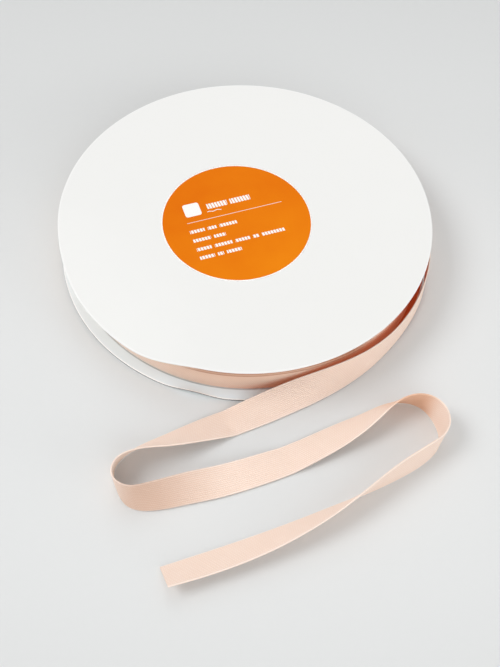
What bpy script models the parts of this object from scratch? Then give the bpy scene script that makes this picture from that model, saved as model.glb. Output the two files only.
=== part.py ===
"""Roll of woven elastic between two round cards, with its loose end lying in two loops.

Metres, +Z up. The origin is on the roll's axis, on the surface that the lower card lies on.
"""
import math

import bmesh
import bpy
import numpy as np
from mathutils import Vector

MM = 0.001

# driving sizes
TAPE_WIDTH = 20 * MM
TAPE_THICKNESS = 1.0 * MM
CARD_DIAMETER = 260 * MM
CARD_THICKNESS = 1.0 * MM
REEL_HEIGHT = 34 * MM          # surface to the top of the upper card
WINDING_DIAMETER = 244 * MM
LABEL_DIAMETER = 104 * MM
LABEL_THICKNESS = 0.3 * MM
LABEL_OFFSET = Vector((-6 * MM, -5.5 * MM))   # it is stuck on a little off centre
GAP = 0.3 * MM                 # left between pieces that touch

# worked out from them
CARD_RADIUS = CARD_DIAMETER / 2
WINDING_RADIUS = WINDING_DIAMETER / 2
WINDING_FOOT = CARD_THICKNESS + GAP
WINDING_TOP = WINDING_FOOT + TAPE_WIDTH
UPPER_CARD_UNDERSIDE = REEL_HEIGHT - CARD_THICKNESS

# The middle of the winding stands up to carry the upper card.
MIDDLE_RADIUS = 38 * MM
MIDDLE_TOP = UPPER_CARD_UNDERSIDE - GAP

# where the outer turn ends and the loose end goes on, seen from above
TURN_END_ANGLE = math.radians(70)
LEAVING_ANGLE = math.radians(48)
STEP_WIDTH = math.radians(0.15)

CARD_SECTORS = 120
CARD_RINGS = (0, 0.2, 0.4, 0.5, 0.6, 0.7, 0.8, 0.88, 0.943, 0.972, 1)   # shares of its radius
WINDING_SIDES = 160
LABEL_SIDES = 96
ROUTE_SPACING = 4.5 * MM
UPPER_FLAT_SHARE = 0.4         # the upper card is flat out to this share of its radius
LOWER_FLAT_SHARE = 0.943       # the lower one is held flat by the winding

# Where a rim is bent out of flat: headings seen from above, between which it bends and comes back.
UPPER_RIM = [
    # starts, full, fades, ends (degrees), rise (mm)
    (178, 212, 237, 260, -10.2),
]
LOWER_RIM = [
    (247, 257, 257, 267, 3.2),
]

# The loose end seen from above: it lifts off the winding, follows the cards' rims, and then runs
# from bend to bend to its cut end. Side is 1 where a bend's centre is to its right, -1 to its left.
LOOSE_BENDS = [
    # centre x, centre y, radius (mm), side
    (0, 0, 131.5, 1),
    (-58.5, -190.5, 16.5, -1),
    (112, -149.5, 20.5, 1),
    (-39, -255.5, 0, 1),
]
RUN_BOWS = (0, 7, -8)          # how far each run between bends bows to its right (mm)
RIM_REACHED = math.radians(-18)
FOOT_FALLS = (math.radians(-16), math.radians(-52))    # where it comes down off the lower card
LEANS_FROM = math.radians(-42)
# Lean in degrees at even steps along each run and bend: 0 stands on edge, 90 lies flat with the
# other edge to the right of the way it runs, 180 stands on the other edge.
RUN_LEANS = (
    (35, 65, 90, 120, 155),
    (145, 110, 92, 70, 25),
    (5, 5, -25, -45, -60, -65, -60),
)
BEND_LEANS = (
    (155, 185, 145),
    (25, -15, 0),
)
RIM_ROWS = 8
BEND_ROWS = 4
RUN_ROW_SPACING = 22           # mm


def clear_scene():
    for obj in list(bpy.data.objects):
        bpy.data.objects.remove(obj, do_unlink=True)


def new_collection(name):
    collection = bpy.data.collections.new(name)
    bpy.context.scene.collection.children.link(collection)
    return collection


def plain_material(name, colour, roughness):
    material = bpy.data.materials.new(name)
    material.use_nodes = True
    shader = material.node_tree.nodes["Principled BSDF"]
    shader.inputs["Base Color"].default_value = (*colour, 1.0)
    shader.inputs["Roughness"].default_value = roughness
    shader.inputs["Metallic"].default_value = 0.0
    return material


def add_object(name, data, collection, material):
    obj = bpy.data.objects.new(name, data)
    collection.objects.link(obj)
    data.materials.append(material)
    return obj


def natural_spline(knots, values, at):
    """Values of the natural cubic spline through (knots, values), one column each."""
    gaps = np.diff(knots)
    slopes = np.diff(values, axis=0) / gaps[:, None]
    count = len(knots)
    system = np.eye(count)
    right = np.zeros_like(values)
    for i in range(1, count - 1):
        system[i, i - 1 : i + 2] = gaps[i - 1], 2 * (gaps[i - 1] + gaps[i]), gaps[i]
        right[i] = 6 * (slopes[i] - slopes[i - 1])
    bends = np.linalg.solve(system, right)
    piece = np.clip(np.searchsorted(knots, at) - 1, 0, count - 2)
    width = gaps[piece][:, None]
    after = (at - knots[piece])[:, None]
    before = width - after
    curve = (bends[piece] * before**3 + bends[piece + 1] * after**3) / (6 * width)
    curve += (values[piece] / width - bends[piece] * width / 6) * before
    curve += (values[piece + 1] / width - bends[piece + 1] * width / 6) * after
    return curve


def eased(share):
    share = min(1.0, max(0.0, share))
    return share * share * (3 - 2 * share)


def rim_rise(bends, heading):
    """Height of a card's rim over flat."""
    rise = 0.0
    for starts, full, fades, ends, height in bends:
        coming = eased((heading - starts) / (full - starts))
        rise += height * coming * eased((ends - heading) / (ends - fades))
    return rise * MM


def card(name, underside, flat_share, rim_bends, collection, material):
    """A round card: a spun radius, bent along its rim, then thickened upward."""
    mesh = bpy.data.meshes.new(name)
    bm = bmesh.new()
    points = [bm.verts.new((CARD_RADIUS * share, 0, 0)) for share in CARD_RINGS]
    edges = [bm.edges.new(pair) for pair in zip(points, points[1:])]
    bmesh.ops.spin(
        bm,
        geom=points + edges,
        axis=(0, 0, 1),
        cent=(0, 0, 0),
        angle=2 * math.pi,
        steps=CARD_SECTORS,
        use_merge=True,
    )
    bmesh.ops.remove_doubles(bm, verts=bm.verts, dist=0.01 * MM)
    for vert in bm.verts:
        reach = vert.co.xy.length / CARD_RADIUS
        bend = max(0.0, (reach - flat_share) / (1 - flat_share)) ** 2
        heading = math.degrees(math.atan2(vert.co.y, vert.co.x)) % 360
        vert.co.z = underside + rim_rise(rim_bends, heading) * bend
    bmesh.ops.recalc_face_normals(bm, faces=bm.faces)
    bm.faces.ensure_lookup_table()
    if bm.faces[0].normal.z < 0:
        bmesh.ops.reverse_faces(bm, faces=bm.faces)
    bm.to_mesh(mesh)
    bm.free()
    mesh.shade_smooth()
    obj = add_object(name, mesh, collection, material)
    thicken = obj.modifiers.new("Solidify", "SOLIDIFY")
    thicken.thickness = CARD_THICKNESS
    thicken.offset = 1
    return obj


def winding_surface(turned):
    """Radius of the winding, after turning clockwise by this angle from the outer turn's end."""
    return WINDING_RADIUS - TAPE_THICKNESS * (1 - turned / (2 * math.pi))


def winding(collection, material):
    """All the turns as one solid: a spiral outline, pulled up, with a raised middle."""
    mesh = bpy.data.meshes.new("winding")
    bm = bmesh.new()
    bmesh.ops.create_circle(bm, cap_ends=True, radius=WINDING_RADIUS, segments=WINDING_SIDES)
    bm.verts.ensure_lookup_table()
    whole = 2 * math.pi - STEP_WIDTH
    for i, vert in enumerate(bm.verts):
        turned = whole * i / (WINDING_SIDES - 1)
        radius = winding_surface(turned)
        angle = TURN_END_ANGLE - turned
        vert.co = (radius * math.cos(angle), radius * math.sin(angle), WINDING_FOOT)
    levels = [
        # share of the outline, height
        (1.0, WINDING_TOP),
        (MIDDLE_RADIUS / WINDING_RADIUS, WINDING_TOP),
        (MIDDLE_RADIUS / WINDING_RADIUS, MIDDLE_TOP),
    ]
    underside = bm.faces[:][0]
    top = underside
    width = 1.0
    for share, height in levels:
        grown = bmesh.ops.extrude_face_region(bm, geom=[top])["geom"]
        if top is not underside:
            bmesh.ops.delete(bm, geom=[top], context="FACES_ONLY")
        top = next(item for item in grown if isinstance(item, bmesh.types.BMFace))
        for vert in top.verts:
            vert.co = (vert.co.x * share / width, vert.co.y * share / width, height)
        width = share
    bmesh.ops.recalc_face_normals(bm, faces=bm.faces)
    bm.to_mesh(mesh)
    bm.free()
    mesh.shade_smooth()
    mesh.set_sharp_from_angle(angle=math.radians(40))
    return add_object("winding", mesh, collection, material)


def point_on(bend, direction):
    """Where the tape touches a bend when it runs in a direction."""
    x, y, radius, side = bend
    return x - side * radius * math.sin(direction), y + side * radius * math.cos(direction)


def run_between(first, second):
    """Direction and length of the straight that touches two bends."""
    across, up = second[0] - first[0], second[1] - first[1]
    offset = second[3] * second[2] - first[3] * first[2]
    length = math.sqrt(across**2 + up**2 - offset**2)
    return math.atan2(up, across) + math.atan2(offset, length), length


def lean_at(leans, share):
    return math.radians(np.interp(share, np.linspace(0, 1, len(leans)), leans))


def rim_rows(leaves):
    """Rows from where the tape lifts off the winding to where it leaves the cards' rims."""
    start = winding_surface(TURN_END_ANGLE - LEAVING_ANGLE) + GAP + TAPE_THICKNESS / 2
    rim = LOOSE_BENDS[0][2] * MM
    fall_start, fall_end = FOOT_FALLS
    rows = []
    for i in range(RIM_ROWS):
        angle = LEAVING_ANGLE + (leaves - LEAVING_ANGLE) * i / RIM_ROWS
        outward = eased((LEAVING_ANGLE - angle) / (LEAVING_ANGLE - RIM_REACHED))
        radius = start + (rim - start) * outward
        foot = WINDING_FOOT * (1 - eased((fall_start - angle) / (fall_start - fall_end)))
        lean = lean_at(RUN_LEANS[0], 0) * eased((LEANS_FROM - angle) / (LEANS_FROM - leaves))
        rows.append((radius * math.cos(angle), radius * math.sin(angle), foot, lean))
    return rows


def run_rows(start, direction, length, bow, leans, shares):
    rows = []
    for share in shares:
        aside = bow * math.sin(math.pi * share)
        x = start[0] + length * share * math.cos(direction) + aside * math.sin(direction)
        y = start[1] + length * share * math.sin(direction) - aside * math.cos(direction)
        rows.append((x * MM, y * MM, 0.0, lean_at(leans, share)))
    return rows


def bend_rows(bend, direction, next_direction, leans):
    side = bend[3]
    turn = -side * (side * (direction - next_direction) % (2 * math.pi))
    rows = []
    for i in range(BEND_ROWS):
        share = i / BEND_ROWS
        x, y = point_on(bend, direction + turn * share)
        rows.append((x * MM, y * MM, 0.0, lean_at(leans, share)))
    return rows


def route_rows():
    """Rows of the whole loose end: x, y and foot of its middle line, and its lean."""
    rows = []
    steps = 4
    for i in range(steps):
        turned = (TURN_END_ANGLE - LEAVING_ANGLE) * (i + 0.1) / steps
        radius = winding_surface(turned) + GAP + TAPE_THICKNESS / 2
        angle = TURN_END_ANGLE - turned
        rows.append((radius * math.cos(angle), radius * math.sin(angle), WINDING_FOOT, 0.0))
    runs = [run_between(*pair) for pair in zip(LOOSE_BENDS, LOOSE_BENDS[1:])]
    rows += rim_rows(runs[0][0] + math.pi / 2)
    for i, (direction, length) in enumerate(runs):
        count = round(length / RUN_ROW_SPACING)
        last = i == len(runs) - 1
        shares = [k / count for k in range(count + 1 if last else count)]
        start = point_on(LOOSE_BENDS[i], direction)
        rows += run_rows(start, direction, length, RUN_BOWS[i], RUN_LEANS[i], shares)
        if not last:
            rows += bend_rows(LOOSE_BENDS[i + 1], direction, runs[i + 1][0], BEND_LEANS[i])
    return np.array(rows)


def tape_profile(collection):
    """The tape's cross-section, a guide that the loose end's curve carries along."""
    profile = bpy.data.curves.new("tape_profile", "CURVE")
    profile.dimensions = "2D"
    line = profile.splines.new("POLY")
    half_width = TAPE_WIDTH / 2
    half_thickness = TAPE_THICKNESS / 2
    corners = [
        (-half_thickness, -half_width),
        (-half_thickness, 0),
        (-half_thickness, half_width),
        (half_thickness, half_width),
        (half_thickness, 0),
        (half_thickness, -half_width),
    ]
    line.points.add(len(corners) - 1)
    for point, (x, y) in zip(line.points, corners):
        point.co = (x, y, 0, 1)
    line.use_cyclic_u = True
    guide = bpy.data.objects.new("tape_profile", profile)
    guide.hide_render = True
    guide.display_type = "WIRE"
    collection.objects.link(guide)
    return guide


def loose_end(collection, guides, material):
    """The free tape: a curve along its middle line, tilted by its lean."""
    rows = route_rows()
    steps = np.hypot(*np.diff(rows[:, :2], axis=0).T)
    knots = np.concatenate(([0.0], np.cumsum(steps)))
    count = int(knots[-1] / ROUTE_SPACING)
    run = natural_spline(knots, rows, np.linspace(0, knots[-1], count))
    curve = bpy.data.curves.new("loose_end", "CURVE")
    curve.dimensions = "3D"
    curve.twist_mode = "Z_UP"
    curve.bevel_mode = "OBJECT"
    curve.bevel_object = tape_profile(guides)
    curve.use_fill_caps = True
    line = curve.splines.new("POLY")
    line.points.add(count - 1)
    line.use_smooth = True
    for point, (x, y, foot, lean) in zip(line.points, run):
        standing = abs(math.cos(lean)) * TAPE_WIDTH / 2
        lying = abs(math.sin(lean)) * TAPE_THICKNESS / 2
        point.co = (x, y, max(0.0, foot) + standing + lying, 1)
        point.tilt = lean
    return add_object("loose_end", curve, collection, material)


def label(collection, material):
    bpy.ops.mesh.primitive_cylinder_add(
        vertices=LABEL_SIDES,
        radius=LABEL_DIAMETER / 2,
        depth=LABEL_THICKNESS,
        location=(*LABEL_OFFSET, REEL_HEIGHT + GAP + LABEL_THICKNESS / 2),
    )
    obj = bpy.context.object
    obj.name = "label"
    for owner in list(obj.users_collection):
        owner.objects.unlink(obj)
    collection.objects.link(obj)
    obj.data.materials.append(material)
    obj.data.shade_smooth()
    obj.data.set_sharp_from_angle(angle=math.radians(40))
    return obj


def main():
    clear_scene()
    parts = new_collection("roll_of_elastic")
    guides = new_collection("guides")
    lower_board = plain_material("lower_card_board", (0.78, 0.78, 0.76), 0.55)
    upper_board = plain_material("upper_card_board", (0.86, 0.86, 0.84), 0.5)
    wound_elastic = plain_material("wound_elastic", (0.82, 0.56, 0.44), 0.9)
    loose_elastic = plain_material("loose_elastic", (0.90, 0.66, 0.54), 0.9)
    paper = plain_material("orange_paper", (0.83, 0.22, 0.01), 0.45)
    card("lower_card", 0.0, LOWER_FLAT_SHARE, LOWER_RIM, parts, lower_board)
    card("upper_card", UPPER_CARD_UNDERSIDE, UPPER_FLAT_SHARE, UPPER_RIM, parts, upper_board)
    winding(parts, wound_elastic)
    loose_end(parts, guides, loose_elastic)
    label(parts, paper)


main()
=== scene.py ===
import math

import bmesh
import bpy
import numpy as np
from mathutils import Matrix, Vector, noise


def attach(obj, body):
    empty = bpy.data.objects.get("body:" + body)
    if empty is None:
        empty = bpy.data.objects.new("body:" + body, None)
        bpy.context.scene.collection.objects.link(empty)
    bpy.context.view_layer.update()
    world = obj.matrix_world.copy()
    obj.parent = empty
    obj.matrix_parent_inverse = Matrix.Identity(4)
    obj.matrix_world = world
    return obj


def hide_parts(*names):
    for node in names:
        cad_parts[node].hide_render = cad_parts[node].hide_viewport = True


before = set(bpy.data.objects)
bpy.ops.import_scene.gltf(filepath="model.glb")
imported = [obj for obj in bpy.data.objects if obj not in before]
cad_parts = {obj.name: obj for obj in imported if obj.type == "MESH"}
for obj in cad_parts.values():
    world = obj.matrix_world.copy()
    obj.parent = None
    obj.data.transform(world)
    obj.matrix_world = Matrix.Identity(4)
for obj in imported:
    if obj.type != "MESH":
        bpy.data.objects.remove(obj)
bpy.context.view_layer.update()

mm = 0.001
fullTurn = 2 * math.pi


# ---- shader maths as Python expressions

class Signal:
    def __init__(self, graph, socket):
        self.graph = graph
        self.socket = socket

    def maths(self, operation, *values):
        flat = self.socket.type == "VALUE"
        kind = "ShaderNodeMath" if flat else "ShaderNodeVectorMath"
        return self.graph.add(kind, {"operation": operation}, dict(enumerate(values)))

    def __add__(self, other):
        return self.maths("ADD", self, other)

    def __radd__(self, other):
        return self.maths("ADD", other, self)

    def __sub__(self, other):
        return self.maths("SUBTRACT", self, other)

    def __rsub__(self, other):
        return self.maths("SUBTRACT", other, self)

    def __mul__(self, other):
        return self.maths("MULTIPLY", self, other)

    def __rmul__(self, other):
        return self.maths("MULTIPLY", other, self)

    def __truediv__(self, other):
        return self.maths("DIVIDE", self, other)

    def __lt__(self, other):
        return self.maths("LESS_THAN", self, other)

    def __gt__(self, other):
        return self.maths("GREATER_THAN", self, other)

    def __abs__(self):
        return self.maths("ABSOLUTE", self)

    def __mod__(self, other):
        return self.maths("FLOORED_MODULO", self, other)

    def __pow__(self, other):
        return self.maths("POWER", self, other)

    def sine(self):
        return self.maths("SINE", self)

    def floor(self):
        return self.maths("FLOOR", self)

    def atLeast(self, other):
        return self.maths("MAXIMUM", self, other)

    def atMost(self, other):
        return self.maths("MINIMUM", self, other)

    def clamped(self):
        return self.atLeast(0).atMost(1)


class Graph:
    def __init__(self, name):
        self.material = bpy.data.materials.new(name)
        self.material.use_nodes = True
        self.nodes = self.material.node_tree.nodes
        self.links = self.material.node_tree.links
        self.shader = self.nodes["Principled BSDF"]

    # Any node: its settings first, then its sockets, each a number, a colour or another node's signal.
    def add(self, kind, settings=None, inputs=None, output=0):
        node = self.nodes.new(kind)
        for key, value in (settings or {}).items():
            setattr(node, key, value)
        for key, value in (inputs or {}).items():
            self.feed(node.inputs[key], value)
        return Signal(self, node.outputs[output])

    def feed(self, socket, value):
        if isinstance(value, Signal):
            self.links.new(value.socket, socket)
        elif socket.type == "VECTOR" and isinstance(value, (int, float)):
            socket.default_value = (value, value, value)
        elif socket.type == "RGBA" and len(value) == 3:
            socket.default_value = (*value, 1)
        else:
            socket.default_value = value

    def mix(self, factor, first, second):
        sockets = {"Factor": factor, 6: first, 7: second}
        return self.add("ShaderNodeMix", {"data_type": "RGBA"}, sockets, output=2)

    def split(self, vector):
        node = self.add("ShaderNodeSeparateXYZ", inputs={"Vector": vector}).socket.node
        return [Signal(self, socket) for socket in node.outputs]

    def place(self):
        return self.add("ShaderNodeTexCoord", output="Object")

    def noise(self, place, scale, detail=3, roughness=0.55):
        sockets = {"Vector": place, "Scale": scale, "Detail": detail, "Roughness": roughness}
        return self.add("ShaderNodeTexNoise", {"normalize": True}, sockets)

    def ease(self, value, start, end):
        sockets = {"Value": value, "From Min": start, "From Max": end}
        return self.add("ShaderNodeMapRange", {"interpolation_type": "SMOOTHSTEP"}, sockets)

    def bump(self, height, distance, strength):
        sockets = {"Height": height, "Distance": distance, "Strength": strength}
        return self.add("ShaderNodeBump", inputs=sockets)

    def finish(self, sockets):
        for key, value in sockets.items():
            self.feed(self.shader.inputs[key], value)
        return self.material


# ---- meshes

# A sheet of points, rows along and columns across. Doubled points at a seam or a pole are merged,
# open ends are closed, and a second sheet of (along, across) lengths becomes the cloth's UV map.
def gridPiece(name, points, material, lengths=None, closeEnds=False):
    rows, columns = points.shape[:2]
    mesh = bpy.data.meshes.new(name)
    index = np.arange(rows * columns).reshape(rows, columns)
    quads = np.stack([index[:-1, :-1], index[:-1, 1:], index[1:, 1:], index[1:, :-1]], axis=-1)
    mesh.from_pydata(points.reshape(-1, 3).tolist(), [], quads.reshape(-1, 4).tolist())
    if lengths is not None:
        corners = np.empty(len(mesh.loops), dtype=np.int32)
        mesh.loops.foreach_get("vertex_index", corners)
        layer = mesh.uv_layers.new(name="cloth")
        layer.data.foreach_set("uv", lengths.reshape(-1, 2)[corners].ravel())
    bm = bmesh.new()
    bm.from_mesh(mesh)
    bmesh.ops.remove_doubles(bm, verts=bm.verts, dist=0.002 * mm)
    if closeEnds:
        bmesh.ops.holes_fill(bm, edges=[edge for edge in bm.edges if edge.is_boundary])
    bmesh.ops.recalc_face_normals(bm, faces=bm.faces)
    bm.to_mesh(mesh)
    bm.free()
    mesh.shade_smooth()
    mesh.set_sharp_from_angle(angle=math.radians(50))
    mesh.materials.append(material)
    piece = bpy.data.objects.new(name, mesh)
    bpy.context.scene.collection.objects.link(piece)
    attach(piece, "root")
    print(name, len(mesh.polygons), "faces")
    return piece


# Values of the natural cubic spline through a table's rows, one column each.
def splineThrough(knots, values, at):
    gaps = np.diff(knots)
    slopes = np.diff(values, axis=0) / gaps[:, None]
    count = len(knots)
    system = np.eye(count)
    right = np.zeros_like(values)
    for i in range(1, count - 1):
        system[i, i - 1:i + 2] = gaps[i - 1], 2 * (gaps[i - 1] + gaps[i]), gaps[i]
        right[i] = 6 * (slopes[i] - slopes[i - 1])
    bends = np.linalg.solve(system, right)
    part = np.clip(np.searchsorted(knots, at) - 1, 0, count - 2)
    width = gaps[part][:, None]
    after = (at - knots[part])[:, None]
    before = width - after
    curve = (bends[part] * before**3 + bends[part + 1] * after**3) / (6 * width)
    curve += (values[part] / width - bends[part] * width / 6) * before
    curve += (values[part + 1] / width - bends[part + 1] * width / 6) * after
    return curve


# Smooth noise between -1 and 1, the same on every run.
def drift(x, y, z):
    return noise.noise(Vector((x, y, z)))


# ---- elastic cloth

elastic = {
    "width": 20 * mm,
    "thickness": 1.0 * mm,
    "ribs": 16,                       # cords that run along the tape
    "pick": 1.3 * mm,                 # from one weft thread to the next
    "threadRise": 0.10 * mm,
    "thread": (0.97, 0.82, 0.725),
    "hollow": (0.87, 0.63, 0.50),     # between the threads
    "woundThread": (0.98, 0.79, 0.68),
    "woundHollow": (0.88, 0.59, 0.45),
    # painted shade close under the upper card
    "shadeUnderCard": (0.46, 0.20, 0.11),
    "paintedGapShade": (0.86, 0.34, 0.20),       # painted shade: cloth upon cloth, deep in the gap beside the roll
    # painted shade on the roll's front
    "paintedFrontShade": (0.91, 0.87, 0.83),
    "paintedGlow": (0.125, 0.038, 0.015),    # painted glow, emitted: stands in for light through the cloth there
    "gapReach": 20 * mm,              # cloth nearer than this shuts out the light
    "gapOpen": (0.62, 0.12),          # how open a place is where the gap's painted shade starts, and is full
    "gapLeaves": (0.26, 0.2),         # run of the loose end, in metres, where that painted shade starts, and is full
    # painted light on the roll's sides
    "paintedSideLight": (1.02, 1.08, 1.09),
    "lighterEdgesFrom": 0.455,            # share of the width, from the middle
}


# Woven elastic: cords along the tape, crossed by threads that step sideways from cord to cord.
# Where cloth stands close to cloth, deep red is painted in as shade; beside the loose end the roll also gets
# an emitted painted glow.
def elasticMaterial(name, thread, hollow, wound):
    graph = Graph(name)
    along, across, _ = graph.split(graph.add("ShaderNodeUVMap", {"uv_map": "cloth"}))
    cordPlace = abs(across) * (elastic["ribs"] / elastic["width"])
    cord = abs((cordPlace * math.pi).sine())
    step = cordPlace.floor() % 2 / 2
    weft = (along / elastic["pick"] + step) % 1
    pick = 1 - abs(weft - 0.5) * 2
    height = cord * 0.45 + pick * cord * 0.55
    cloudy = graph.noise(graph.place(), 90, 4)
    fuzz = graph.noise(graph.place(), 1500, 2)
    shade = height * 0.9 + cloudy * 0.25 + fuzz * 0.25 - 0.13
    # both edges of the tape are made lighter
    selvedge = (abs(abs(across) / elastic["width"] - 0.5) > elastic["lighterEdgesFrom"]) * 0.6
    colour = graph.mix((shade + selvedge).clamped(), hollow, thread)
    reach = {"Distance": elastic["gapReach"]}
    openness = graph.add("ShaderNodeAmbientOcclusion", {"samples": 6}, reach, output=1)
    shut = graph.ease(openness, *elastic["gapOpen"])
    paintedGlow = 0.0
    if wound:
        # painted shade on the roll's front, painted light on its sides
        colour = colour * graph.mix(partOfRoll(graph, "front"), elastic["paintedSideLight"], elastic["paintedFrontShade"])
        # painted deep shade and an emitted painted glow where cloth is close, beside the loose end
        paintedGlow = shut * partOfRoll(graph, "besideLooseEnd")
        colour = graph.mix(paintedGlow, colour, elastic["paintedGapShade"])
        # painted shade close under the upper card
        colour = graph.mix(paintedShadeUnderCard(graph), colour, elastic["shadeUnderCard"])
    else:
        # painted deep shade where cloth is close, at the start of the loose end
        colour = graph.mix(shut * graph.ease(along, *elastic["gapLeaves"]), colour, elastic["paintedGapShade"])
        # painted shade at the two bends
        for bend in paintedShadeBends:
            colour = colour * bendShade(graph, along, bend)
    weave = graph.bump(height + fuzz * 0.35, elastic["threadRise"], 0.7)
    return graph.finish({
        "Base Color": colour,
        "Roughness": 0.88 - height * 0.1,
        "Normal": weave,
        "Sheen Weight": 0.25,
        "Sheen Roughness": 0.45,
        "Sheen Tint": (1.0, 0.9, 0.84),
        "Specular IOR Level": 0.25,
        # painted glow: emitted light in the gap beside the loose end
        "Emission Color": graph.mix(paintedGlow, (0, 0, 0), elastic["paintedGlow"]),
        "Emission Strength": 1.0,
    })


def headingAround(graph):
    x, y, _ = graph.split(graph.place())
    return y.maths("ARCTAN2", y, x)


# Where the loose end bends back on itself, painted shade makes it deeper: run of the tape in metres, and
# tint.
paintedShadeBends = [
    {"from": 0.455, "full": (0.480, 0.480), "to": 0.545, "tint": (0.75, 0.66, 0.605)},
    {"from": 0.643, "full": (0.666, 0.677), "to": 0.692, "tint": (0.86, 0.66, 0.53)},
]


def bendShade(graph, along, bend):
    first, last = bend["full"]
    part = graph.ease(along, bend["from"], first) * graph.ease(along, bend["to"], last)
    return graph.mix(part, (1, 1, 1), bend["tint"])


# Headings round the roll (radians): where a shade comes in, and where it goes out again.
rollShades = {
    "front": ((-2.3, -1.8), (0.8, 0.0)),               # painted shade: a little more tan than the sides
    # painted deep shade and painted glow, beside the loose end
    "besideLooseEnd": ((-1.9, -1.3), (0.85, 0.7)),
    "shadeUnderCard": ((-1.98, -1.75), (-0.75, -0.95)),        # painted shade close under the upper card
    # the painted shade's parts: where each starts and is full in height, or its middle and half width;
    # strength
    "band": (15.6 * mm, 16.4 * mm, 0.42),
    "line": (16.4 * mm, 0.9 * mm, 0.38),
    "top": (18.2 * mm, 19.2 * mm, 0.48),
}


def partOfRoll(graph, shade):
    heading = headingAround(graph)
    comesIn, goesOut = rollShades[shade]
    return graph.ease(heading, *comesIn) * graph.ease(heading, *goesOut)


# In front the outer turn's upper edge is in the shade close under the upper card; there it gets painted
# shade: a dim band, a dark line and a darker top.
def paintedShadeUnderCard(graph):
    z = graph.split(graph.place())[2]
    starts, full, strength = rollShades["band"]
    band = graph.ease(z, starts, full) * strength
    middle, half, strength = rollShades["line"]
    line = (1 - abs(z - middle) / half).clamped() * strength
    starts, full, strength = rollShades["top"]
    top = graph.ease(z, starts, full) * strength
    return (partOfRoll(graph, "shadeUnderCard") * (band + line + top)).clamped()


looseElastic = elasticMaterial("looseElastic", elastic["thread"], elastic["hollow"], wound=False)
woundElastic = elasticMaterial("woundElastic", elastic["woundThread"], elastic["woundHollow"], wound=True)


# ---- cards

board = {
    "radius": 130 * mm,
    "thickness": 1.0 * mm,
    "corner": 0.22 * mm,              # how far its cut edge is rounded
    "sectors": 360,
    # radii where the painted highlight round the rim begins and is full, and where the cut edge begins
    "marginFrom": (128.8 * mm, 129.4 * mm),
    "edgeFrom": 129.93 * mm,
}

upperCard = {
    "white": (0.84, 0.84, 0.825),
    "fibre": (0.825, 0.825, 0.805),
    # painted highlight on the cut edge and round the rim
    "edge": (0.93, 0.93, 0.92),
    "paintedRimHighlight": (0.88, 0.88, 0.87),
    "shadedFront": False,
    "underside": 33 * mm,
    "flatShare": 0.5,
    # where its rim bends: starts, full, fades, ends (degrees), rise (mm)
    "rim": [(178, 212, 237, 260, -10.2)],
}

lowerCard = {
    # painted light: tinted bluer than the upper card to cancel the pink light the cloth throws on it
    "white": (0.85, 0.90, 0.92),
    "fibre": (0.83, 0.885, 0.905),
    # painted shade on the cut edge, painted highlight round the rim
    "edge": (0.27, 0.26, 0.26),
    "paintedRimHighlight": (0.97, 0.98, 0.98),
    # painted shade on the front: darker at the front left under the upper card's bent rim, and tinted against
    # the cloth's pink light
    "paintedShadeFrontLeft": (0.765, 0.81, 0.825),
    "front": (0.82, 0.92, 0.97),
    "shadedFront": True,
    # headings (radians) where the front's painted shades start and are full
    "frontLeftFrom": (-2.8, -2.3),
    "frontFrom": (-2.1, -1.75),
    "frontUntil": (0.8, 0.0),
    "paintedFootShadow": (121.7 * mm, 0.8 * mm, 0.7),           # painted contact shadow at the roll's foot: its radius, half its width, strength
    "footShade": (0.30, 0.28, 0.27),
    # painted deep shade on the floor of the gap beside the loose end
    "gapFrom": (-1.0, -0.8),
    "gapUntil": 0.8,
    "gapEdge": (130.3 * mm, -0.2, 9.8 * mm),           # radius, heading past which it shrinks, by how much
    "gapSoft": 1 * mm,
    "gapShade": (0.84, 0.24, 0.08),
    "underside": 0.0,
    "flatShare": 0.943,
    "rim": [(247, 257, 257, 267, 3.2)],
}


def eased(share):
    share = min(1.0, max(0.0, share))
    return share * share * (3 - 2 * share)


# Height of a card's rim over flat.
def rimRise(bends, heading):
    rise = 0.0
    for starts, full, fades, ends, height in bends:
        coming = eased((heading - starts) / (full - starts))
        rise += height * coming * eased((ends - heading) / (ends - fades))
    return rise * mm


# Height of a card's underside at a place, with its bent rim.
def cardHeight(card, x, y):
    reach = math.hypot(x, y) / board["radius"]
    bend = max(0.0, (reach - card["flatShare"]) / (1 - card["flatShare"])) ** 2
    heading = math.degrees(math.atan2(y, x)) % 360
    return card["underside"] + rimRise(card["rim"], heading) * bend


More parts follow.
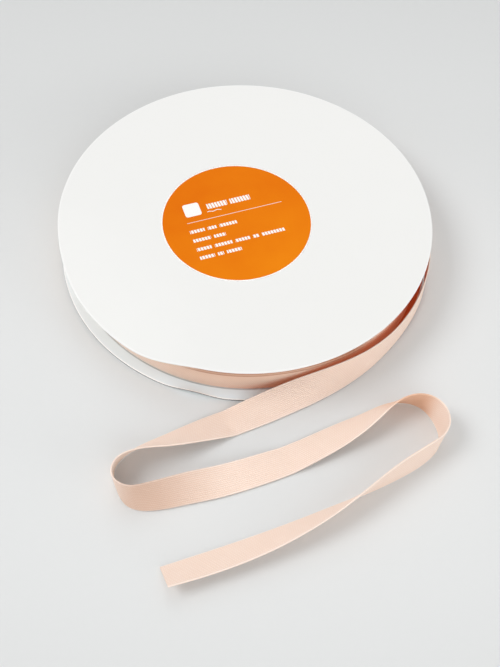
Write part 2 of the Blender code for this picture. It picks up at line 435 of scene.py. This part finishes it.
def boardMaterial(name, card):
    graph = Graph(name)
    place = graph.place()
    mottle = graph.noise(place, 45, 5, 0.6)
    fine = graph.noise(place, 900, 3, 0.6)
    colour = graph.mix((mottle * 0.7 + fine * 0.5 - 0.1).clamped(), card["fibre"], card["white"])
    x, y, _ = graph.split(place)
    reach = (x * x + y * y) ** 0.5
    if card["shadedFront"]:
        heading = headingAround(graph)
        # painted shade on the card's front
        here = graph.ease(heading, *card["frontUntil"])
        colour = graph.mix(graph.ease(heading, *card["frontLeftFrom"]) * here, colour, card["paintedShadeFrontLeft"])
        colour = graph.mix(graph.ease(heading, *card["frontFrom"]) * here, colour, card["front"])
        # painted contact shadow: a dark line at the roll's foot
        middle, half, strength = card["paintedFootShadow"]
        line = (1 - abs(reach - middle) / half).clamped()
        colour = graph.mix(line * strength, colour, card["footShade"])
        # painted deep shade on the floor of the gap beside the loose end
        edge, shrinksFrom, shrinks = card["gapEdge"]
        tape = edge - (heading - shrinksFrom).atLeast(0) * shrinks
        inside = ((tape - reach) / card["gapSoft"]).clamped()
        part = graph.ease(heading, *card["gapFrom"]) * (heading < card["gapUntil"]) * inside
        colour = graph.mix(part, colour, card["gapShade"])
    # painted highlight round the rim; on the cut edge painted highlight on the upper card, painted shade on
    # the lower
    colour = graph.mix(graph.ease(reach, *board["marginFrom"]), colour, card["paintedRimHighlight"])
    colour = graph.mix(reach > board["edgeFrom"], colour, card["edge"])
    surface = graph.bump(fine * 0.5 + mottle, 0.06 * mm, 0.35)
    return graph.finish({
        "Base Color": colour,
        "Roughness": 0.6 + fine * 0.12,
        "Normal": surface,
        "Specular IOR Level": 0.2,
    })


def cardPiece(name, card, node):
    radius, thickness, corner = board["radius"], board["thickness"], board["corner"]
    shares = [0, 0.1, 0.2, 0.3, 0.4, 0.48, 0.55, 0.62, 0.68, 0.74, 0.79, 0.84, 0.88, 0.915, 0.943, 0.96, 0.98]
    inner = [(radius * share, 0.0) for share in shares]
    rounded = []
    for i in range(5):
        angle = math.pi / 8 * i
        rounded.append((radius - corner + corner * math.sin(angle), corner - corner * math.cos(angle)))
    under = inner + rounded
    profile = under + [(r, thickness - z) for r, z in reversed(under)]
    points = np.empty((board["sectors"] + 1, len(profile), 3))
    for i in range(board["sectors"] + 1):
        heading = fullTurn * (i % board["sectors"]) / board["sectors"]
        for j, (r, z) in enumerate(profile):
            x, y = r * math.cos(heading), r * math.sin(heading)
            points[i, j] = (x, y, cardHeight(card, x, y) + z)
    material = boardMaterial(name + "Board", card)
    piece = gridPiece(name, points, material)
    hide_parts(node)
    return piece


cardPiece("lowerCard", lowerCard, "lower_card")
cardPiece("upperCard", upperCard, "upper_card")


# ---- the winding

wound = {
    "radius": 122 * mm,
    "foot": 1.3 * mm,
    "turnEnd": math.radians(70),      # heading where the outer turn gives way to the loose end
    "looseTurns": 16,                 # outer turns made one by one
    "steps": 200,                     # round each of them
    "slack": 0.05 * mm,               # air between two turns
    "corner": 0.22 * mm,              # how far a turn's edges are rounded
    "climb": 0.35 * mm,               # how unevenly their edges stand
    "slackPart": (-82, 14),           # headings between which turns stand off the roll
    "slackTurns": [(2.6 * mm, 0.2 * mm), (4.6 * mm, 0.7 * mm)],    # how far off, how much lower
    "middle": 38 * mm,
    "middleTop": 32.7 * mm,
    "middleShade": (0.74, 0.70, 0.62),
    "middleDark": (0.62, 0.57, 0.48),
}


# Across one turn: out from its middle, and up from its foot.
def turnSection():
    half = (elastic["thickness"] - wound["slack"]) / 2
    width, corner = elastic["width"], wound["corner"]
    return [
        (half, corner),
        (half, width * 0.5),
        (half, width - corner),
        (half - corner, width),
        (corner - half, width),
        (-half, width - corner),
        (-half, width * 0.5),
        (-half, corner),
        (corner - half, 0),
        (half - corner, 0),
        (half, corner),
    ]


# The outer turns, one spiral strip that ends where the loose end begins.
def outerTurns():
    thickness, width = elastic["thickness"], elastic["width"]
    section = turnSection()
    count = wound["looseTurns"] * wound["steps"]
    points = np.empty((count + 1, len(section), 3))
    lengths = np.empty((count + 1, len(section), 2))
    run = 0.0
    for i in range(count + 1):
        back = fullTurn * i / wound["steps"]
        heading = wound["turnEnd"] + back
        turn = back / fullTurn
        sink = thickness * turn
        cosine, sine = math.cos(heading), math.sin(heading)
        lift = drift(cosine * 2, sine * 2, turn * 0.9) * wound["climb"]
        lift = lift * min(1, turn * 2)
        radius = wound["radius"] - thickness / 2 - sink
        for j, (out, up) in enumerate(section):
            reach = radius + out
            height = wound["foot"] + up + (lift if up > width / 2 else 0)
            points[i, j] = (reach * cosine, reach * sine, height)
            lengths[i, j] = (run, up)
        run += radius * fullTurn / wound["steps"]
    piece = gridPiece("outerTurns", points, woundElastic, lengths, closeEnds=True)
    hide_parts("winding")


# Turns that have sprung a little way off the roll, behind the loose end.
def slackTurns():
    thickness, width = elastic["thickness"], elastic["width"]
    section = turnSection()
    start, end = (math.radians(value) for value in wound["slackPart"])
    steps = 90
    for number, (bulge, drop) in enumerate(wound["slackTurns"]):
        points = np.empty((steps + 1, len(section), 3))
        lengths = np.empty((steps + 1, len(section), 2))
        for i in range(steps + 1):
            heading = start + (end - start) * i / steps
            radius = wound["radius"] - 1.2 * thickness + bulge * math.sin(math.pi * i / steps) ** 2
            for j, (out, up) in enumerate(section):
                high = up - drop if up > width / 2 else up
                reach = radius + out
                points[i, j] = (reach * math.cos(heading), reach * math.sin(heading), wound["foot"] + high)
                lengths[i, j] = (wound["radius"] * heading, up)
        piece = gridPiece(f"slackTurn{number + 1}", points, woundElastic, lengths, closeEnds=True)
        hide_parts("winding")


# The turns inside, whose edges show only low under the upper card.
def innerTurns():
    thickness, width = elastic["thickness"], elastic["width"]
    outside = wound["radius"] - (wound["looseTurns"] + 0.75) * thickness
    count = int((outside - wound["middle"]) / thickness)
    foot = wound["foot"]
    steps = 180
    points = np.empty((steps + 1, count * 3 + 3, 3))
    lengths = np.empty((steps + 1, count * 3 + 3, 2))
    for i in range(steps + 1):
        heading = fullTurn * (i % steps) / steps
        cosine, sine = math.cos(heading), math.sin(heading)
        profile = [(outside, foot), (wound["middle"] + 0.2 * mm, foot)]
        for turn in range(count):
            inside = outside - (count - turn) * thickness
            lift = drift(cosine * 2, sine * 2, 40 + turn * 0.8) * wound["climb"]
            top = foot + width + lift
            profile += [(inside, top - 0.45 * mm), (inside + 0.3 * mm, top), (inside + 0.75 * mm, top)]
        profile.append(profile[0])
        for j, (reach, height) in enumerate(profile):
            points[i, j] = (reach * cosine, reach * sine, height)
            lengths[i, j] = (reach * fullTurn * i / steps, height)
    piece = gridPiece("innerTurns", points, woundElastic, lengths)
    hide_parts("winding")


# What stands up in the middle and carries the upper card.
def middlePost():
    outer, inner = wound["middle"], wound["middle"] - 6 * mm
    low, high, corner = wound["foot"], wound["middleTop"], 0.4 * mm
    profile = [
        (inner, low),
        (outer, low),
        (outer, high - corner),
        (outer - corner, high),
        (inner + corner, high),
        (inner, high - corner),
        (inner, low),
    ]
    steps = 120
    points = np.empty((steps + 1, len(profile), 3))
    for i in range(steps + 1):
        heading = fullTurn * (i % steps) / steps
        for j, (reach, height) in enumerate(profile):
            points[i, j] = (reach * math.cos(heading), reach * math.sin(heading), height)
    graph = Graph("middleBoard")
    fibre = graph.noise(graph.place(), 300, 4)
    colour = graph.mix(fibre, wound["middleDark"], wound["middleShade"])
    material = graph.finish({"Base Color": colour, "Roughness": 0.85})
    piece = gridPiece("middlePost", points, material)
    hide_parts("winding")


outerTurns()
slackTurns()
innerTurns()
middlePost()


# ---- the loose end

looseEnd = {
    "spacing": 2.2 * mm,
    "leaving": math.radians(48),      # heading where it lifts off the winding
    "ribRise": 0.07 * mm,
    "selvedge": 0.6 * mm,
    "selvedgeThins": 0.88,
    # as the CAD has it: centre x, centre y, radius (mm), side, 1 to the tape's right and -1 to its left
    "bends": [
        (0, 0, 131.5, 1),
        (-58.5, -190.5, 16.5, -1),
        (112, -149.5, 20.5, 1),
        (-39, -255.5, 0, 1),
    ],
    "bows": (0, 7, -8),               # how far each run between bends bows to its right (mm)
    "rimReached": math.radians(-18),
    "footFalls": (math.radians(-16), math.radians(-52)),
    "leansFrom": math.radians(-42),
    # lean at even steps along each run and bend (degrees)
    "runLeans": [(35, 65, 90, 120, 155), (145, 110, 92, 70, 25), (5, 5, -25, -45, -60, -65, -60)],
    "bendLeans": [(155, 185, 145), (25, -15, 0)],
    "rimRows": 8,
    "bendRows": 4,
    "rowSpacing": 22,                 # mm
}


# Where the tape touches a bend when it runs in a direction.
def pointOn(bend, direction):
    x, y, radius, side = bend
    return x - side * radius * math.sin(direction), y + side * radius * math.cos(direction)


# Direction and length of the straight that touches two bends.
def runBetween(first, second):
    across, up = second[0] - first[0], second[1] - first[1]
    offset = second[3] * second[2] - first[3] * first[2]
    length = math.sqrt(across**2 + up**2 - offset**2)
    return math.atan2(up, across) + math.atan2(offset, length), length


def leanAt(leans, share):
    return math.radians(np.interp(share, np.linspace(0, 1, len(leans)), leans))


# From where it lifts off the winding to where it leaves the cards' rims.
def besideCards(start, leaves):
    rim = looseEnd["bends"][0][2] * mm
    lifts = looseEnd["leaving"]
    fallStart, fallEnd = looseEnd["footFalls"]
    rows = []
    for i in range(looseEnd["rimRows"]):
        heading = lifts + (leaves - lifts) * i / looseEnd["rimRows"]
        outward = eased((lifts - heading) / (lifts - looseEnd["rimReached"]))
        radius = start + (rim - start) * outward
        foot = wound["foot"] * (1 - eased((fallStart - heading) / (fallStart - fallEnd)))
        leaning = eased((looseEnd["leansFrom"] - heading) / (looseEnd["leansFrom"] - leaves))
        lean = leanAt(looseEnd["runLeans"][0], 0) * leaning
        rows.append((radius * math.cos(heading), radius * math.sin(heading), foot, lean))
    return rows


def alongRun(start, direction, length, bow, leans, shares):
    rows = []
    for share in shares:
        aside = bow * math.sin(math.pi * share)
        x = start[0] + length * share * math.cos(direction) + aside * math.sin(direction)
        y = start[1] + length * share * math.sin(direction) - aside * math.cos(direction)
        rows.append((x * mm, y * mm, 0.0, leanAt(leans, share)))
    return rows


def roundBend(bend, direction, nextDirection, leans):
    side = bend[3]
    turn = -side * (side * (direction - nextDirection) % fullTurn)
    rows = []
    for i in range(looseEnd["bendRows"]):
        share = i / looseEnd["bendRows"]
        x, y = pointOn(bend, direction + turn * share)
        rows.append((x * mm, y * mm, 0.0, leanAt(leans, share)))
    return rows


# The whole route: along the outer turn, beside the cards, then the runs and bends.
def looseRoute():
    thickness = elastic["thickness"]
    rows = []
    steps = 5
    for i in range(steps):
        turned = (wound["turnEnd"] - looseEnd["leaving"]) * i / steps
        radius = wound["radius"] - thickness / 2 + 0.3 * mm * min(1, i / 2)
        heading = wound["turnEnd"] - turned
        rows.append((radius * math.cos(heading), radius * math.sin(heading), wound["foot"], 0.0))
    bends = looseEnd["bends"]
    runs = [runBetween(*pair) for pair in zip(bends, bends[1:])]
    rows += besideCards(radius, runs[0][0] + math.pi / 2)
    for i, (direction, length) in enumerate(runs):
        count = round(length / looseEnd["rowSpacing"])
        last = i == len(runs) - 1
        shares = [k / count for k in range(count + 1 if last else count)]
        start = pointOn(bends[i], direction)
        rows += alongRun(start, direction, length, looseEnd["bows"][i], looseEnd["runLeans"][i], shares)
        if not last:
            rows += roundBend(bends[i + 1], direction, runs[i + 1][0], looseEnd["bendLeans"][i])
    rows = np.array(rows)
    knots = np.concatenate(([0.0], np.cumsum(np.hypot(*np.diff(rows[:, :2], axis=0).T))))
    count = int(knots[-1] / looseEnd["spacing"])
    run = splineThrough(knots, rows, np.linspace(0, knots[-1], count))
    standing = np.abs(np.cos(run[:, 3])) * elastic["width"] / 2
    lying = np.abs(np.sin(run[:, 3])) * thickness / 2
    height = np.maximum(run[:, 2], 0) + standing + lying
    return np.column_stack([run[:, 0], run[:, 1], height]), run[:, 3]


# Across the tape and back along its other face: rounded cords, and a thin firm selvedge.
def looseSection():
    half, thick = elastic["width"] / 2, elastic["thickness"] / 2
    pitch = elastic["width"] / elastic["ribs"]
    perRib = 6
    count = elastic["ribs"] * perRib
    face = []
    for i in range(count + 1):
        across = -half + elastic["width"] * i / count
        inset = half - abs(across)
        ridge = abs(math.sin(math.pi * (across + half) / pitch))
        rise = thick - looseEnd["ribRise"] * (1 - ridge)
        if inset < looseEnd["selvedge"]:
            share = 1 - inset / looseEnd["selvedge"]
            rise = rise * math.sqrt(max(0.0, 1 - share * share * looseEnd["selvedgeThins"]))
        face.append((across, rise))
    back = [(across, -rise) for across, rise in reversed(face)]
    return face + back + [face[0]]


def looseTape():
    centres, leans = looseRoute()
    section = np.array(looseSection())
    ahead = np.gradient(centres, axis=0)
    ahead /= np.linalg.norm(ahead, axis=1)[:, None]
    right = np.cross(ahead, (0, 0, 1))
    right /= np.linalg.norm(right, axis=1)[:, None]
    upright = np.cross(right, ahead)
    cosine, sine = np.cos(leans)[:, None], np.sin(leans)[:, None]
    acrossAxis = upright * cosine + right * sine
    outAxis = np.cross(acrossAxis, ahead)
    steps = np.linalg.norm(np.diff(centres, axis=0), axis=1)
    run = np.concatenate(([0.0], np.cumsum(steps)))
    points = centres[:, None, :] + acrossAxis[:, None, :] * section[None, :, :1]
    points = points + outAxis[:, None, :] * section[None, :, 1:]
    lengths = np.empty((len(centres), len(section), 2))
    lengths[:, :, 0] = run[:, None]
    lengths[:, :, 1] = section[:, 0] + elastic["width"] / 2
    points[:, :, 2] = np.maximum(points[:, :, 2], 0.0)
    piece = gridPiece("looseTape", points, looseElastic, lengths, closeEnds=True)
    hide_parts("loose_end")
    print("loose end", round(run[-1], 3), "m long")


looseTape()


# ---- the label

labelDisc = {
    "centre": (-6 * mm, -5.5 * mm),
    "radius": 52.4 * mm,
    "border": 0.9 * mm,               # unprinted white rim
    "thickness": 0.16 * mm,
    "stuckShare": 0.93,               # of its radius; past that the edge may lift
    "edgeLift": 0.35 * mm,
    "turned": math.radians(20.4),     # how its print is turned on the card
    "orange": (0.745, 0.160, 0.002),
    # the label's orange where the painted light falls, and where the random mottle is pale
    "paleOrange": (0.83, 0.232, 0.004),
    "white": (0.93, 0.92, 0.89),
}

# What is printed on it, in mm from the label's middle, along and above the print's base line.
labelPrint = {
    "mark": (-26.8, 18.7, 5.8),       # a plain rounded square: x, y, half its size
    "markCorner": 1.8,
    "rule": (-33.5, 35.6, 7.7, 0.22),                  # left, right, height, half its width
    "ruleStrength": 0.75,
    "underline": (-17.0, -7.0, 13.7, 0.28),
    "wave": (1.1, 0.35),              # the underline's: radians a mm, height
    # rows of plain notched blocks in place of words: height, half height, start, notches in each
    "rows": [
        (18.5, 2.3, -16, (7, 7)),
        (-0.5, 1.35, -34, (5, 3, 6)),
        (-8.5, 1.35, -34, (6, 4)),
        (-16.5, 1.35, -34, (5, 6, 5, 2, 8)),
        (-24.0, 1.35, -34, (5, 2, 5)),
    ],
    "notch": 2.1,                     # the blocks are notched this often
    "notchShare": 0.24,
    "slant": 0.12,
    "gap": 2.2,                       # from one block to the next
}


def labelMaterial():
    graph = Graph("labelPaper")
    place = graph.place()
    x, y, _ = graph.split(place)
    x, y = x / mm, y / mm

    def block(left, right, middle, half):
        wide = abs(x - (left + right) / 2) < (right - left) / 2
        return wide * (abs(y - middle) < half)

    notch = labelPrint["notch"]
    notched = (x + y * labelPrint["slant"]) % notch > notch * labelPrint["notchShare"]
    ink = None
    for middle, half, left, words in labelPrint["rows"]:
        for notches in words:
            right = left + notches * notch
            word = block(left, right, middle, half)
            ink = word if ink is None else ink + word
            left = right + labelPrint["gap"]
    ink = ink * notched
    markX, markY, half = labelPrint["mark"]
    corner = labelPrint["markCorner"]
    outX = (abs(x - markX) - (half - corner)).atLeast(0)
    outY = (abs(y - markY) - (half - corner)).atLeast(0)
    mark = outX * outX + outY * outY < corner * corner
    left, right, height, halfRule = labelPrint["rule"]
    rule = block(left, right, height, halfRule) * labelPrint["ruleStrength"]
    left, right, height, halfLine = labelPrint["underline"]
    often, high = labelPrint["wave"]
    wave = height + (x * often).sine() * high
    underline = (abs(x - (left + right) / 2) < (right - left) / 2) * (abs(y - wave) < halfLine)
    ink = ink + mark + rule + underline
    border = (x * x + y * y) > ((labelDisc["radius"] - labelDisc["border"]) / mm) ** 2
    ink = (ink + border).atMost(1)
    cloudy = graph.noise(place, 28, 3)
    fine = graph.noise(place, 1500, 3)
    # paler towards the label's -y and +x side: painted light, over a random mottle
    light = (cloudy * 1.1 - 0.1 - y / 170 + x / 400).clamped()
    ground = graph.mix(light, labelDisc["orange"], labelDisc["paleOrange"])
    colour = graph.mix(ink, ground, labelDisc["white"])
    surface = graph.bump(fine * 0.6 + cloudy, 0.05 * mm, 0.25)
    return graph.finish({
        "Base Color": colour,
        "Roughness": 0.55 + fine * 0.1,
        "Normal": surface,
        "Specular IOR Level": 0.04,
    })


def labelPiece():
    radius, thickness = labelDisc["radius"], labelDisc["thickness"]
    centreX, centreY = labelDisc["centre"]
    turned, stuck = labelDisc["turned"], labelDisc["stuckShare"]
    reaches = [radius * share for share in (0, 0.15, 0.3, 0.45, 0.6, 0.7, 0.8, 0.88, 0.94, 0.98, 1)]
    profile = [(reach, 0.0) for reach in reaches]
    profile += [(radius, thickness * 0.7)]
    profile += [(reach, thickness) for reach in reversed([*reaches[:-1], radius - 0.05 * mm])]
    steps = 240
    points = np.empty((steps + 1, len(profile), 3))
    for i in range(steps + 1):
        heading = fullTurn * (i % steps) / steps
        for j, (reach, up) in enumerate(profile):
            x, y = reach * math.cos(heading), reach * math.sin(heading)
            cardX = centreX + x * math.cos(turned) - y * math.sin(turned)
            cardY = centreY + x * math.sin(turned) + y * math.cos(turned)
            top = cardHeight(upperCard, cardX, cardY) + board["thickness"] + 0.02 * mm
            loose = max(0.0, reach / radius - stuck) / (1 - stuck)
            uneven = max(0.0, drift(math.cos(heading) * 1.7, math.sin(heading) * 1.7, 5))
            lift = uneven * labelDisc["edgeLift"] * loose
            points[i, j] = (x, y, top + up + lift)
    piece = gridPiece("paperLabel", points, labelMaterial())
    piece.matrix_world = Matrix.Translation((centreX, centreY, 0)) @ Matrix.Rotation(turned, 4, "Z")
    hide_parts("label")


labelPiece()


# ---- floor, light and camera

stage = {
    "floorSize": 60.0,
    "floorHeight": -0.5 * mm,         # a thin dark line of shade is left under every edge
    "floorShade": (0.752, 0.762, 0.76),
    "falloffShape": (0.55, 0.13),     # painted pool of light: it darkens away from the part, squashed in x, moved in y
    "falloffRings": [(0.1, 0.3, 0.095), (0.28, 0.5, 0.065)],    # from, full (metres), strength
    "sky": (1.0, 1.0, 1.0),
    "skyStrength": 0.572,
    # name, the way it comes from, how wide it looks (degrees), strength
    "lamps": [
        ("key", (-1.0, -0.02, 1.15), 30, 1.12),
        ("back", (-0.1, 1.0, 1.1), 40, 0.40),
        ("front", (0.35, -1.2, 0.8), 40, 0.62),
        ("fill", (1.3, -0.65, 0.3), 30, 0.50),
    ],
}


def floorMaterial():
    graph = Graph("paperFloor")
    fine = graph.noise(graph.place(), 220, 3)
    shade = stage["floorShade"]
    darker = tuple(channel * 0.985 for channel in shade)
    colour = graph.mix(fine, darker, shade)
    x, y, _ = graph.split(graph.place())
    squash, shift = stage["falloffShape"]
    x, y = x * squash, y + shift
    away = (x * x + y * y) ** 0.5
    near, far = (graph.ease(away, start, full) * strength for start, full, strength in stage["falloffRings"])
    # painted pool of light: darker away from the part
    colour = graph.mix(near + far, colour, (0.0, 0.0, 0.0))
    return graph.finish({"Base Color": colour, "Roughness": 0.9, "Specular IOR Level": 0.1})


def makeFloor():
    half = stage["floorSize"] / 2
    mesh = bpy.data.meshes.new("floor")
    corners = [(-half, -half, 0), (half, -half, 0), (half, half, 0), (-half, half, 0)]
    mesh.from_pydata(corners, [], [(0, 1, 2, 3)])
    mesh.materials.append(floorMaterial())
    floor = bpy.data.objects.new("floor", mesh)
    bpy.context.scene.collection.objects.link(floor)
    floor.location.z = stage["floorHeight"]


def makeLights():
    world = bpy.data.worlds.new("studio")
    world.use_nodes = True
    background = world.node_tree.nodes["Background"]
    background.inputs["Color"].default_value = (*stage["sky"], 1)
    background.inputs["Strength"].default_value = stage["skyStrength"]
    bpy.context.scene.world = world
    for name, source, wide, strength in stage["lamps"]:
        light = bpy.data.lights.new(name, "SUN")
        light.angle = math.radians(wide)
        light.energy = strength
        lamp = bpy.data.objects.new(name, light)
        lamp.location = source
        lamp.rotation_euler = (-lamp.location).to_track_quat("-Z", "Y").to_euler()
        bpy.context.scene.collection.objects.link(lamp)


camera = {
    "place": (0.0, -0.5012, 0.6192),
    "down": math.radians(55.53),      # below the horizon
    "right": math.radians(0.85),
    "roll": math.radians(3.11),
    "lens": 79.2,                     # on a 36 mm wide frame
}


def makeCamera():
    data = bpy.data.cameras.new("camera")
    data.sensor_fit = "HORIZONTAL"
    data.sensor_width = 36
    data.lens = camera["lens"]
    data.clip_start = 0.01
    eye = bpy.data.objects.new("camera", data)
    turn = Matrix.Rotation(-camera["right"], 4, "Z")
    tilt = Matrix.Rotation(math.pi / 2 - camera["down"], 4, "X")
    roll = Matrix.Rotation(camera["roll"], 4, "Z")
    eye.matrix_world = Matrix.Translation(camera["place"]) @ turn @ tilt @ roll
    bpy.context.scene.collection.objects.link(eye)
    bpy.context.scene.camera = eye


makeFloor()
makeLights()
makeCamera()
bpy.context.scene.view_settings.view_transform = "Standard"

bpy.context.view_layer.update()
